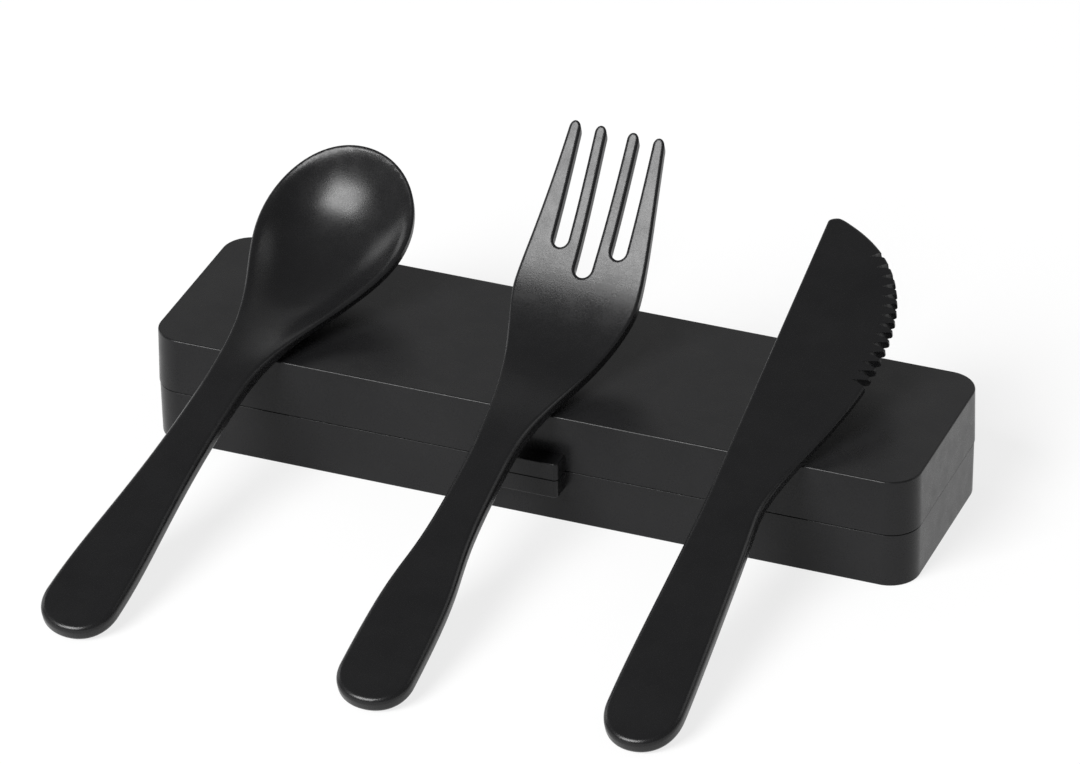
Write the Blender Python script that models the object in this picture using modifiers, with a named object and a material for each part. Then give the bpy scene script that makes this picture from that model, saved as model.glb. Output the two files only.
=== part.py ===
"""Travel cutlery set: a hinged plastic case, with a spoon, a fork and a knife leaning on its lid.

Metres, +Z up. The origin is at the middle of the underside of the case. X runs along the case,
and -Y is its front, where the snap tab is. The case stands on the table at Z = 0. Each piece of
cutlery has its handle end on the table and its underside on the front top edge of the lid.
The lid turns about the hinge axis at the back, and the cutlery that lies on it turns with it.
"""

import math

import bmesh
import bpy
from mathutils import Matrix, Vector

# Case
CASE_LENGTH = 0.195
CASE_DEPTH = 0.0529
BASE_HEIGHT = 0.0143
LID_HEIGHT = 0.0146
CORNER_RADIUS = 0.0077
BASE_WALL = 0.0020
LID_WALL = 0.0020
FLOOR = 0.0018
ROOF = 0.0018
DRAFT = 0.00015
BASE_INSET = 0.00015
EDGE_ROUND = 0.0004
FIT = 0.0003

# Locating lip on the base, which stands in a rebate in the lid
LIP_HEIGHT = 0.0014
LIP_WALL = 0.0009

# Snap tab, split by the parting line
TAB_LENGTH = 0.0212
TAB_OUT = 0.0050
TAB_ABOVE = 0.0046
TAB_BELOW = 0.0048
TAB_CORNER = 0.0012

# Hinge: ears and pins on the lid, open clips on the base
HINGE_SPACING = 0.110
HINGE_RADIUS = 0.0028
CLIP_LENGTH = 0.009
EAR_LENGTH = 0.003
PIN_RADIUS = 0.0012
CLIP_SNAP = 0.0005
OPEN_ANGLE = math.radians(95)

# Cutlery, shared
HANDLE_THICKNESS = 0.0043
HANDLE_RIM = 0.0015
END_FULLNESS = 0.60

# Spoon outline
SPOON_LENGTH = 0.1558
SPOON_END_WIDTH = 0.0190
SPOON_END_DEPTH = 0.0098
SPOON_END_PULL = 0.0187
SPOON_NECK_WIDTH = 0.0109
SPOON_NECK_AT = 0.0768
SPOON_NECK_BACK = 0.0322
SPOON_NECK_FORE = 0.0312
SPOON_BOWL_WIDTH = 0.0394
SPOON_BOWL_AT = 0.1352
SPOON_BOWL_BACK = 0.0155
SPOON_BOWL_FORE = 0.0120
SPOON_TIP_PULL = 0.0112

# Spoon profile
SPOON_BEND_AT = 0.080
SPOON_THIN_AT = 0.105
SPOON_DIP_AT = 0.115
SPOON_DIP = 0.00475
SPOON_TIP_RISE = 0.0042
SPOON_TIP_SLOPE = 0.50
SPOON_THICKNESS = 0.0022
SPOON_RIM = 0.0008
BOWL_DEPTH = 0.0060
BOWL_RIM = 0.0016
BOWL_LIP_SOFTNESS = 0.04
BOWL_FLATNESS = 1.3
BOWL_NECK_POWER = 0.53

# Spoon place
SPOON_X = -0.0794
SPOON_Y = -0.1132
SPOON_HEADING = math.radians(6.8)

# Fork outline
FORK_LENGTH = 0.1640
FORK_END_WIDTH = 0.0186
FORK_END_DEPTH = 0.0093
FORK_END_PULL = 0.0400
FORK_NECK_WIDTH = 0.0106
FORK_NECK_AT = 0.0745
FORK_NECK_BACK = 0.0400
FORK_NECK_FORE = 0.0260
FORK_HEAD_WIDTH = 0.0320
FORK_HEAD_AT = 0.1300
FORK_HEAD_BACK = 0.0090
FORK_HEAD_FORE = 0.0063
FORK_SIDE_PULL = 0.0180

# Fork tines and slots
OUTER_TINE_AT = 0.0109
INNER_TINE_AT = 0.0042
TINE_TIP_RADIUS = 0.0015
OUTER_SLOT_WIDTH = 0.0038
OUTER_SLOT_LENGTH = 0.0252
CENTRE_SLOT_WIDTH = 0.0043
CENTRE_SLOT_LENGTH = 0.0306
SLOT_PULL = 0.0040

# Fork profile
FORK_BEND_AT = 0.080
FORK_THIN_AT = 0.100
FORK_DIP_AT = 0.112
FORK_DIP = 0.0049
FORK_TIP_RISE = 0.0211
FORK_TIP_SLOPE = 0.76
FORK_THICKNESS = 0.0032
FORK_RIM = 0.0009

# Fork place
FORK_X = -0.0033
FORK_Y = -0.1163
FORK_HEADING = math.radians(2.3)

# Knife outline
KNIFE_LENGTH = 0.1641
KNIFE_END_WIDTH = 0.0187
KNIFE_END_DEPTH = 0.0110
KNIFE_END_PULL = 0.0075
KNIFE_NECK_AT = 0.0691
KNIFE_NECK = 0.0070
KNIFE_NECK_BACK = 0.0149
KNIFE_NECK_FORE = 0.0155
KNIFE_NECK_TURN = -0.07
KNIFE_BELLY = 0.0193
KNIFE_BELLY_AT = 0.1274
KNIFE_BELLY_BACK = 0.0253
KNIFE_BELLY_FORE = 0.0198
KNIFE_SPINE = 0.0071
KNIFE_SPINE_AT = 0.078
KNIFE_SPINE_PULL = 0.020
KNIFE_TIP_AT = 0.0047
KNIFE_TIP_RADIUS = 0.0015
KNIFE_NOSE_WIDTH = 0.0038
KNIFE_NOSE_PULL = 0.0120

# Knife profile
KNIFE_BEND_AT = 0.066
KNIFE_THIN_AT = 0.100
KNIFE_BLADE_THICKNESS = 0.0023
KNIFE_BLADE_DROP = 0.0009
KNIFE_RIM = 0.0009

# Knife notches
NOTCH_COUNT = 14
NOTCH_PITCH = 0.0031
NOTCH_FROM_TIP = 0.0081
NOTCH_REACH = 0.0044
NOTCH_OUT = 0.0006
NOTCH_WIDTH = 0.0030
NOTCH_HEIGHT = 0.0070
NOTCH_FALL = 0.0012
NOTCH_TURN = 0.6

# Knife place
KNIFE_X = 0.0600
KNIFE_Y = -0.1105
KNIFE_HEADING = math.radians(-0.29)

# Colours
CASE_GREY = 0.009
CASE_ROUGHNESS = 0.30
CUTLERY_GREY = 0.008
CUTLERY_ROUGHNESS = 0.26

# Mesh resolution
SPAN_POINTS = 10
CORNER_SEGMENTS = 8
ROUND_SIDES = 32
NOTCH_SIDES = 8
STATION_STEP = 0.003
LANE_STEP = 0.0026
PROBE_STEP = 0.0005

# Derived places
PARTING = BASE_HEIGHT
CASE_HEIGHT = BASE_HEIGHT + LID_HEIGHT
CASE_FRONT = -CASE_DEPTH / 2
CASE_BACK = CASE_DEPTH / 2
AXIS_Y = CASE_BACK + HINGE_RADIUS + FIT
AXIS_Z = PARTING
BORE_RADIUS = PIN_RADIUS + FIT
CLIP_MOUTH = 2 * PIN_RADIUS - CLIP_SNAP
OUTER_SLOT_AT = (OUTER_TINE_AT + INNER_TINE_AT) / 2
RIM = min(HANDLE_RIM, 0.4 * HANDLE_THICKNESS)

SMALL = 1e-6
CIRCLE = 0.5523
PARTS = "travel_cutlery_set"
CUTTERS = "cutters"


def clear_scene():
    """Remove every object, mesh, curve and material of the open file."""
    for obj in list(bpy.data.objects):
        bpy.data.objects.remove(obj, do_unlink=True)
    for block in (bpy.data.meshes, bpy.data.curves, bpy.data.materials):
        for item in list(block):
            block.remove(item)


def collection(name):
    """A collection of this name under the scene's own."""
    found = bpy.data.collections.get(name)
    if found is None:
        found = bpy.data.collections.new(name)
        bpy.context.scene.collection.children.link(found)
    return found


def plastic(name, grey, roughness):
    """Satin black moulded plastic."""
    material = bpy.data.materials.new(name)
    material.use_nodes = True
    shader = material.node_tree.nodes["Principled BSDF"]
    shader.inputs["Base Color"].default_value = (grey, grey, grey, 1.0)
    shader.inputs["Roughness"].default_value = roughness
    shader.inputs["Metallic"].default_value = 0.0
    return material


def add_object(name, bm, group):
    """Turn a bmesh into an object of the collection named group."""
    mesh = bpy.data.meshes.new(name)
    bm.to_mesh(mesh)
    bm.free()
    obj = bpy.data.objects.new(name, mesh)
    collection(group).objects.link(obj)
    return obj


def add_cutter(name, bm):
    """A helper solid, kept out of the model and out of renders."""
    obj = add_object(name, bm, CUTTERS)
    obj.hide_render = True
    obj.display_type = "WIRE"
    return obj


def make_hinge():
    """Empty on the hinge axis, which carries whatever turns with the lid."""
    hinge = bpy.data.objects.new("lid_hinge", None)
    hinge.location = (0.0, AXIS_Y, AXIS_Z)
    collection(PARTS).objects.link(hinge)
    return hinge


def hang(obj, hinge):
    """Parent a piece to the hinge and leave it where it is."""
    obj.parent = hinge
    obj.matrix_parent_inverse = Matrix.Translation(-hinge.location)


def combine(obj, other, operation):
    """Join, cut or intersect with another object."""
    modifier = obj.modifiers.new(f"{operation.lower()}_{other.name}", "BOOLEAN")
    modifier.operation = operation
    modifier.object = other
    modifier.solver = "EXACT"


def shade(obj, angle):
    """Smooth shading, with edges sharper than the angle kept sharp."""
    obj.data.shade_smooth()
    obj.data.set_sharp_from_angle(angle=angle)


def box_bmesh(low, high, corner=0.0):
    """A box between two corners, with its upright edges rounded."""
    bm = bmesh.new()
    bmesh.ops.create_cube(bm, size=1.0)
    size = Vector(high) - Vector(low)
    middle = (Vector(high) + Vector(low)) / 2
    bmesh.ops.scale(bm, vec=size, verts=bm.verts)
    bmesh.ops.translate(bm, vec=middle, verts=bm.verts)
    if corner > 0:
        upright = [e for e in bm.edges if (e.verts[0].co - e.verts[1].co).xy.length < SMALL]
        bmesh.ops.bevel(bm, geom=upright, offset=corner, segments=CORNER_SEGMENTS,
                        profile=0.5, affect="EDGES")
    return bm


def taper(bm, height, inset):
    """Draw the outline in by the inset at one height."""
    ring = [v for v in bm.verts if abs(v.co.z - height) < SMALL]
    half_x = max(v.co.x for v in ring)
    half_y = max(v.co.y for v in ring)
    for v in ring:
        v.co.x *= (half_x - inset) / half_x
        v.co.y *= (half_y - inset) / half_y


def round_edges(bm, height, radius):
    """Round the edges of a box that lie at one height."""
    level = [e for e in bm.edges if all(abs(v.co.z - height) < SMALL for v in e.verts)]
    bmesh.ops.bevel(bm, geom=level, offset=radius, segments=2, profile=0.5, affect="EDGES")


def case_outline(inset, low, high):
    """A block with the outline of the case, drawn in by the inset, between two heights."""
    half_x = CASE_LENGTH / 2 - inset
    half_y = CASE_DEPTH / 2 - inset
    return box_bmesh((-half_x, -half_y, low), (half_x, half_y, high), CORNER_RADIUS - inset)


def case_shell(name, inset, low, high, rounded_at):
    """One half of the case as a block, drafted and rounded towards its closed side."""
    bm = case_outline(inset, low, high)
    taper(bm, rounded_at, DRAFT)
    round_edges(bm, rounded_at, EDGE_ROUND)
    return add_object(name, bm, PARTS)


def case_cutter(name, inset, low, high):
    """A cutter with the outline of the case, drawn in by the inset."""
    return add_cutter(name, case_outline(inset, low, high))


def cylinder_x(name, radius, x_low, x_high):
    """A cylinder along X on the hinge axis."""
    bm = bmesh.new()
    bmesh.ops.create_cone(bm, cap_ends=True, segments=ROUND_SIDES, radius1=radius, radius2=radius,
                          depth=x_high - x_low)
    turn = Matrix.Rotation(math.radians(90), 4, "Y")
    place = Matrix.Translation(((x_low + x_high) / 2, AXIS_Y, AXIS_Z))
    bmesh.ops.transform(bm, matrix=place @ turn, verts=bm.verts)
    return add_cutter(name, bm)


def block(name, low, high):
    """A plain block between two corners."""
    return add_cutter(name, box_bmesh(low, high))


def hinge_stations():
    """The side and the middle along X of each hinge."""
    return (("left", -HINGE_SPACING / 2), ("right", HINGE_SPACING / 2))


def tab_block(name, low, high):
    """One half of the snap tab, which is sunk a little into the wall behind it."""
    half = TAB_LENGTH / 2
    root = CASE_FRONT + BASE_WALL / 2
    bm = box_bmesh((-half, CASE_FRONT - TAB_OUT, low), (half, root + TAB_CORNER, high), TAB_CORNER)
    return add_cutter(name, bm)


def add_clip(base, side, x):
    """The round clip and the web that joins it to the back wall."""
    low = x - CLIP_LENGTH / 2
    high = x + CLIP_LENGTH / 2
    combine(base, cylinder_x(f"clip_{side}", HINGE_RADIUS, low, high), "UNION")
    web = block(f"clip_web_{side}", (low, CASE_BACK - BASE_WALL / 2, AXIS_Z - HINGE_RADIUS),
                (high, AXIS_Y, AXIS_Z - FIT / 2))
    combine(base, web, "UNION")


def cut_clip(base, side, x):
    """The bore of a clip, and the mouth that lets the pin snap in from the back."""
    low = x - CLIP_LENGTH
    high = x + CLIP_LENGTH
    combine(base, cylinder_x(f"bore_{side}", BORE_RADIUS, low, high), "DIFFERENCE")
    mouth = block(f"mouth_{side}", (low, AXIS_Y, AXIS_Z - CLIP_MOUTH / 2),
                  (high, AXIS_Y + 2 * HINGE_RADIUS, AXIS_Z + CLIP_MOUTH / 2))
    combine(base, mouth, "DIFFERENCE")


def make_base(material):
    """Lower half of the case: shell, lip, snap tab and hinge clips."""
    base = case_shell("case_base", BASE_INSET, 0.0, PARTING - FIT / 2, 0.0)
    lip = case_cutter("base_lip", LID_WALL - LIP_WALL, PARTING - BASE_WALL, PARTING + LIP_HEIGHT)
    combine(base, lip, "UNION")
    combine(base, tab_block("base_tab", PARTING - TAB_BELOW, PARTING - FIT / 2), "UNION")
    for side, x in hinge_stations():
        add_clip(base, side, x)
    inside = case_cutter("base_inside", BASE_WALL, FLOOR, PARTING + 2 * LIP_HEIGHT)
    combine(base, inside, "DIFFERENCE")
    for side, x in hinge_stations():
        cut_clip(base, side, x)
    base.data.materials.append(material)
    shade(base, math.radians(35))
    return base


def heel_block(name, x_low, x_high):
    """The square heel of an ear, which meets the back of the base when the lid is open."""
    bm = box_bmesh((x_low, -HINGE_RADIUS, -HINGE_RADIUS), (x_high, 0.0, 0.0))
    turn = Matrix.Rotation(OPEN_ANGLE, 4, "X")
    place = Matrix.Translation((0.0, AXIS_Y, AXIS_Z))
    bmesh.ops.transform(bm, matrix=place @ turn, verts=bm.verts)
    return add_cutter(name, bm)


def add_ears(lid, side, x):
    """Two ears and the pin between them, at one hinge."""
    inner = CLIP_LENGTH / 2 + FIT
    outer = inner + EAR_LENGTH
    for end, low, high in (("a", x - outer, x - inner), ("b", x + inner, x + outer)):
        name = f"{side}_{end}"
        web = block(f"ear_web_{name}", (low, CASE_BACK - LID_WALL / 2, AXIS_Z + FIT / 2),
                    (high, AXIS_Y, AXIS_Z + HINGE_RADIUS))
        combine(lid, cylinder_x(f"ear_{name}", HINGE_RADIUS, low, high), "UNION")
        combine(lid, web, "UNION")
        combine(lid, heel_block(f"heel_{name}", low, high), "UNION")
    reach = inner + EAR_LENGTH / 2
    combine(lid, cylinder_x(f"pin_{side}", PIN_RADIUS, x - reach, x + reach), "UNION")


def make_lid(material):
    """Upper half of the case: shell, rebate, snap tab, hinge ears, heels and pins."""
    bottom = PARTING + FIT / 2
    lid = case_shell("case_lid", 0.0, bottom, CASE_HEIGHT, CASE_HEIGHT)
    combine(lid, tab_block("lid_tab", bottom, PARTING + TAB_ABOVE), "UNION")
    for side, x in hinge_stations():
        add_ears(lid, side, x)
    inside = case_cutter("lid_inside", LID_WALL, PARTING - LIP_HEIGHT, CASE_HEIGHT - ROOF)
    rebate = case_cutter("lid_rebate", LID_WALL - LIP_WALL - FIT, PARTING - LIP_HEIGHT,
                         PARTING + LIP_HEIGHT + FIT)
    combine(lid, inside, "DIFFERENCE")
    combine(lid, rebate, "DIFFERENCE")
    lid.data.materials.append(material)
    shade(lid, math.radians(35))
    return lid


def ease(value, low, high):
    """Smooth step from 0 at low to 1 at high."""
    t = min(max((value - low) / (high - low), 0.0), 1.0)
    return t * t * (3 - 2 * t)


def blend(start, end, share):
    """The value at a share of the way from start to end."""
    return start + (end - start) * share


def hermite(value, start, end):
    """Cubic between two (place, height, slope) knots."""
    span = end[0] - start[0]
    t = (value - start[0]) / span
    rise = end[1] - start[1]
    return (start[1] + rise * (3 * t * t - 2 * t ** 3)
            + span * start[2] * (t ** 3 - 2 * t * t + t) + span * end[2] * (t ** 3 - t * t))


def handle_end(width, depth, pull):
    """Anchors of the handle end: its middle, then the place on the right where it is widest."""
    half = width / 2
    return [
        (0.0, 0.0, (1, 0), END_FULLNESS * half, END_FULLNESS * half),
        (half, depth, (0, 1), END_FULLNESS * depth, pull),
    ]


def round_tip(x, y, radius):
    """Anchors of a half circle that turns over at the top, from its right to its left side."""
    pull = CIRCLE * radius
    return [
        (x + radius, y - radius, (0, 1), SLOT_PULL, pull),
        (x, y, (-1, 0), pull, pull),
        (x - radius, y - radius, (0, -1), pull, SLOT_PULL),
    ]


def slot_end(x, y, radius):
    """Anchors of a half circle that turns over at the bottom, from its right to its left side."""
    pull = CIRCLE * radius
    return [
        (x + radius, y + radius, (0, -1), SLOT_PULL, pull),
        (x, y, (-1, 0), pull, pull),
        (x - radius, y + radius, (0, 1), pull, SLOT_PULL),
    ]


def mirrored(half):
    """Anchors of a whole outline from those of its right half, from handle end to tip."""
    left = []
    for x, y, tangent, before, after in reversed(half[1:-1]):
        left.append((-x, y, (tangent[0], -tangent[1]), after, before))
    return half + left


def outline_blank(name, anchors):
    """A flat blank of handle thickness, cut to a closed outline of curve anchors."""
    curve = bpy.data.curves.new(name, "CURVE")
    curve.dimensions = "2D"
    curve.fill_mode = "BOTH"
    curve.extrude = HANDLE_THICKNESS / 2
    curve.resolution_u = SPAN_POINTS
    spline = curve.splines.new("BEZIER")
    spline.use_cyclic_u = True
    spline.bezier_points.add(len(anchors) - 1)
    for point, (x, y, tangent, before, after) in zip(spline.bezier_points, anchors):
        along = Vector((tangent[0], tangent[1], 0.0)).normalized()
        point.handle_left_type = "FREE"
        point.handle_right_type = "FREE"
        point.co = (x, y, 0.0)
        point.handle_left = Vector((x, y, 0.0)) - along * before
        point.handle_right = Vector((x, y, 0.0)) + along * after
    guide = bpy.data.objects.new(name + "_outline", curve)
    collection(CUTTERS).objects.link(guide)
    bpy.context.view_layer.update()
    evaluated = guide.evaluated_get(bpy.context.evaluated_depsgraph_get())
    bm = bmesh.new()
    bm.from_mesh(bpy.data.meshes.new_from_object(evaluated))
    bpy.data.objects.remove(guide, do_unlink=True)
    bmesh.ops.translate(bm, vec=(0.0, 0.0, HANDLE_THICKNESS / 2), verts=bm.verts)
    bmesh.ops.remove_doubles(bm, verts=bm.verts, dist=SMALL)
    inner = [e for e in bm.edges if len(e.link_faces) == 2
             and all(abs(f.normal.z) > 0.9 for f in e.link_faces)]
    bmesh.ops.dissolve_edges(bm, edges=inner, use_verts=False)
    bmesh.ops.recalc_face_normals(bm, faces=bm.faces)
    return bm


def round_rims(name, bm, head_rim, bend_at, thin_at):
    """Round the top and bottom rims, by a radius that falls from the handle to the head."""
    weight = bm.edges.layers.float.new("bevel_weight_edge")
    for edge in bm.edges:
        caps = sum(abs(face.normal.z) > 0.9 for face in edge.link_faces)
        if caps == 1:
            middle = (edge.verts[0].co.y + edge.verts[1].co.y) / 2
            edge[weight] = blend(RIM, head_rim, ease(middle, bend_at, thin_at)) / RIM
    obj = add_object(name, bm, PARTS)
    modifier = obj.modifiers.new("rim", "BEVEL")
    modifier.limit_method = "WEIGHT"
    modifier.width = RIM
    modifier.segments = 3
    modifier.use_clamp_overlap = False
    bpy.context.view_layer.update()
    evaluated = obj.evaluated_get(bpy.context.evaluated_depsgraph_get())
    rounded = bpy.data.meshes.new_from_object(evaluated)
    obj.modifiers.clear()
    obj.data = rounded
    return obj


def slice_mesh(bm, places, axis):
    """Cut every face of a mesh at each place along an axis."""
    normal = [0.0, 0.0, 0.0]
    normal[axis] = 1.0
    for place in places:
        point = [0.0, 0.0, 0.0]
        point[axis] = place
        bmesh.ops.bisect_plane(bm, geom=bm.verts[:] + bm.edges[:] + bm.faces[:], dist=SMALL,
                               plane_co=point, plane_no=normal)


def steps(low, high, step):
    """Evenly spaced places from low to high, both included."""
    count = max(1, round((high - low) / step))
    return [low + (high - low) * i / count for i in range(count + 1)]


def form(obj, stations, lanes, under, thickness):
    """Press the flat blank to its underside and thickness, as functions of x and y."""
    bm = bmesh.new()
    bm.from_mesh(obj.data)
    slice_mesh(bm, stations, 1)
    slice_mesh(bm, lanes, 0)
    for v in bm.verts:
        share = v.co.z / HANDLE_THICKNESS
        v.co.z = under(v.co.x, v.co.y) + share * thickness(v.co.y)
    bm.to_mesh(obj.data)
    bm.free()


def lid_clearance(point):
    """Distance from a point to the rounded front top edge and roof of the lid."""
    front = CASE_FRONT + DRAFT
    across = max(front + EDGE_ROUND - point.y, 0.0)
    above = max(point.z - (CASE_HEIGHT - EDGE_ROUND), 0.0)
    if point.y < front + EDGE_ROUND or above > 0:
        return math.hypot(across, above) - EDGE_ROUND
    return -EDGE_ROUND


def underside_probes(length, half_width, under):
    """Points over the underside of a piece."""
    probes = []
    for station in steps(0.0, length, PROBE_STEP):
        for share in (-1.0, -0.5, 0.0, 0.5, 1.0):
            across = share * half_width(station)
            probes.append(Vector((across, station, under(across, station))))
    return probes


def lean(obj, end_depth, probes, x, y, heading):
    """Tilt a piece until its end is on the table and its underside is on the lid."""
    turn = Matrix.Rotation(-heading, 4, "Z") @ Matrix.Translation((0.0, -end_depth, 0.0))
    turned = [turn @ probe for probe in probes]

    def place(tilt):
        """Matrix of the piece at one tilt, with its lowest point on the table at y."""
        tip = Matrix.Rotation(tilt, 4, "X")
        rest = tip @ Vector((0.0, -end_depth + RIM * (1 - math.sin(tilt)),
                             RIM * (1 - math.cos(tilt))))
        return Matrix.Translation((x, y - rest.y, -rest.z)) @ tip

    low = math.radians(5)
    high = math.radians(45)
    for _ in range(30):
        tilt = (low + high) / 2
        matrix = place(tilt)
        if min(lid_clearance(matrix @ probe) for probe in turned) < FIT:
            low = tilt
        else:
            high = tilt
    obj.matrix_world = place(high) @ turn


def side_edge(bm):
    """Function for the half width of a symmetric blank at a place along it."""
    edge = sorted((v.co.y, v.co.x) for v in bm.verts if v.co.x > -SMALL and v.co.z < SMALL)

    def half_width(y):
        for (y0, x0), (y1, x1) in zip(edge, edge[1:]):
            if y0 <= y <= y1 and y1 > y0:
                return blend(x0, x1, (y - y0) / (y1 - y0))
        return 0.0

    return half_width


def spoon_anchors():
    """Right half of the spoon's outline, from handle end to tip."""
    neck = SPOON_NECK_WIDTH / 2
    bowl = SPOON_BOWL_WIDTH / 2
    return handle_end(SPOON_END_WIDTH, SPOON_END_DEPTH, SPOON_END_PULL) + [
        (neck, SPOON_NECK_AT, (0, 1), SPOON_NECK_BACK, SPOON_NECK_FORE),
        (bowl, SPOON_BOWL_AT, (0, 1), SPOON_BOWL_BACK, SPOON_BOWL_FORE),
        (0.0, SPOON_LENGTH, (-1, 0), SPOON_TIP_PULL, SPOON_TIP_PULL),
    ]


def make_spoon(material):
    """Spoon: flat handle, dipped neck and an egg-shaped bowl inside a soft lip."""
    bm = outline_blank("spoon", mirrored(spoon_anchors()))
    half_width = side_edge(bm)
    widest = SPOON_BOWL_WIDTH / 2 - BOWL_RIM
    reach = SPOON_LENGTH - SPOON_BOWL_AT
    inner_reach = reach - BOWL_RIM

    def thickness(y):
        return blend(HANDLE_THICKNESS, SPOON_THICKNESS, ease(y, SPOON_BEND_AT, SPOON_THIN_AT))

    def top(y):
        if y < SPOON_DIP_AT:
            return -SPOON_DIP * ease(y, SPOON_BEND_AT, SPOON_DIP_AT)
        return hermite(y, (SPOON_DIP_AT, -SPOON_DIP, 0.0),
                       (SPOON_LENGTH, SPOON_TIP_RISE, SPOON_TIP_SLOPE))

    def bowl(x, y):
        past = (y - SPOON_BOWL_AT) / inner_reach
        deepen = 1.0
        if y < SPOON_BOWL_AT:
            inner = max(half_width(y) - BOWL_RIM, SMALL)
            level = (inner / widest) ** 2
            deepen = level ** (BOWL_NECK_POWER - 1)
        elif past < 1:
            level = (half_width(SPOON_BOWL_AT + past * reach) / (SPOON_BOWL_WIDTH / 2)) ** 2
        else:
            level = 2 * (1 - past)
        level -= (x / widest) ** 2
        soft = deepen * (level + math.hypot(level, BOWL_LIP_SOFTNESS)) / 2
        full = 1 - max(1 - soft, 0.0) ** BOWL_FLATNESS
        return BOWL_DEPTH * ease(y, SPOON_BEND_AT, SPOON_DIP_AT) * full

    def under(x, y):
        return HANDLE_THICKNESS + top(y) - thickness(y) - bowl(x, y)

    spoon = round_rims("spoon", bm, SPOON_RIM, SPOON_BEND_AT, SPOON_THIN_AT)
    lanes = steps(-SPOON_BOWL_WIDTH / 2, SPOON_BOWL_WIDTH / 2, LANE_STEP)[1:-1]
    form(spoon, steps(SPOON_BEND_AT, SPOON_LENGTH, STATION_STEP)[:-1], lanes, under, thickness)
    spoon.data.materials.append(material)
    shade(spoon, math.radians(40))
    probes = underside_probes(SPOON_LENGTH, half_width, under)
    lean(spoon, SPOON_END_DEPTH, probes, SPOON_X, SPOON_Y, SPOON_HEADING)
    return spoon


def fork_anchors():
    """Right half of the fork's outline, from handle end to the end of the centre slot."""
    neck = FORK_NECK_WIDTH / 2
    head = FORK_HEAD_WIDTH / 2
    outer = round_tip(OUTER_TINE_AT, FORK_LENGTH, TINE_TIP_RADIUS)
    side_x, side_y = outer[0][:2]
    along = (side_x - head, side_y - FORK_HEAD_AT)
    outer[0] = (side_x, side_y, along, FORK_SIDE_PULL, CIRCLE * TINE_TIP_RADIUS)
    slot = slot_end(OUTER_SLOT_AT, FORK_LENGTH - OUTER_SLOT_LENGTH, OUTER_SLOT_WIDTH / 2)
    inner = round_tip(INNER_TINE_AT, FORK_LENGTH, TINE_TIP_RADIUS)
    centre = slot_end(0.0, FORK_LENGTH - CENTRE_SLOT_LENGTH, CENTRE_SLOT_WIDTH / 2)
    return handle_end(FORK_END_WIDTH, FORK_END_DEPTH, FORK_END_PULL) + [
        (neck, FORK_NECK_AT, (0, 1), FORK_NECK_BACK, FORK_NECK_FORE),
        (head, FORK_HEAD_AT, (0, 1), FORK_HEAD_BACK, FORK_HEAD_FORE),
    ] + outer + slot + inner + centre[:2]


def make_fork(material):
    """Fork: flat handle, dipped neck and a head that sweeps up to four tines."""
    bm = outline_blank("fork", mirrored(fork_anchors()))

    def half_width(y):
        if y < FORK_NECK_AT:
            return FORK_END_WIDTH / 2
        share = ease(y, FORK_NECK_AT, FORK_HEAD_AT)
        return blend(FORK_NECK_WIDTH, FORK_HEAD_WIDTH, share) / 2

    def thickness(y):
        return blend(HANDLE_THICKNESS, FORK_THICKNESS, ease(y, FORK_BEND_AT, FORK_THIN_AT))

    def top(y):
        if y < FORK_DIP_AT:
            return -FORK_DIP * ease(y, FORK_BEND_AT, FORK_DIP_AT)
        return hermite(y, (FORK_DIP_AT, -FORK_DIP, 0.0),
                       (FORK_LENGTH, FORK_TIP_RISE, FORK_TIP_SLOPE))

    def under(x, y):
        return HANDLE_THICKNESS + top(y) - thickness(y)

    fork = round_rims("fork", bm, FORK_RIM, FORK_BEND_AT, FORK_THIN_AT)
    form(fork, steps(FORK_BEND_AT, FORK_LENGTH, STATION_STEP)[:-1], [], under, thickness)
    fork.data.materials.append(material)
    shade(fork, math.radians(40))
    probes = underside_probes(FORK_LENGTH, half_width, under)
    lean(fork, FORK_END_DEPTH, probes, FORK_X, FORK_Y, FORK_HEADING)
    return fork


def knife_anchors():
    """The knife's whole outline: handle end, cutting side, tip and spine."""
    start, right = handle_end(KNIFE_END_WIDTH, KNIFE_END_DEPTH, KNIFE_END_PULL)
    left = (-right[0], right[1], (0, -1), KNIFE_SPINE_PULL, right[3])
    corner = KNIFE_TIP_RADIUS
    nose = (KNIFE_NOSE_WIDTH - KNIFE_TIP_AT, KNIFE_LENGTH - corner)
    pull = CIRCLE * corner
    return [
        start,
        right,
        (KNIFE_NECK, KNIFE_NECK_AT, (KNIFE_NECK_TURN, 1), KNIFE_NECK_BACK, KNIFE_NECK_FORE),
        (KNIFE_BELLY, KNIFE_BELLY_AT, (0, 1), KNIFE_BELLY_BACK, KNIFE_BELLY_FORE),
        (*nose, (-2, 1), KNIFE_NOSE_PULL, corner),
        (-KNIFE_TIP_AT, KNIFE_LENGTH, (-1, 0), pull, pull),
        (-KNIFE_SPINE, KNIFE_LENGTH - corner, (0, -1), pull, KNIFE_SPINE_PULL),
        (-KNIFE_SPINE, KNIFE_SPINE_AT, (0, -1), KNIFE_SPINE_PULL, KNIFE_SPINE_PULL),
        left,
    ]


def side_reach(knife, y):
    """How far the cutting side stands out at a place along the knife."""
    return max(v.co.x for v in knife.data.vertices if abs(v.co.y - y) < STATION_STEP)


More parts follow.
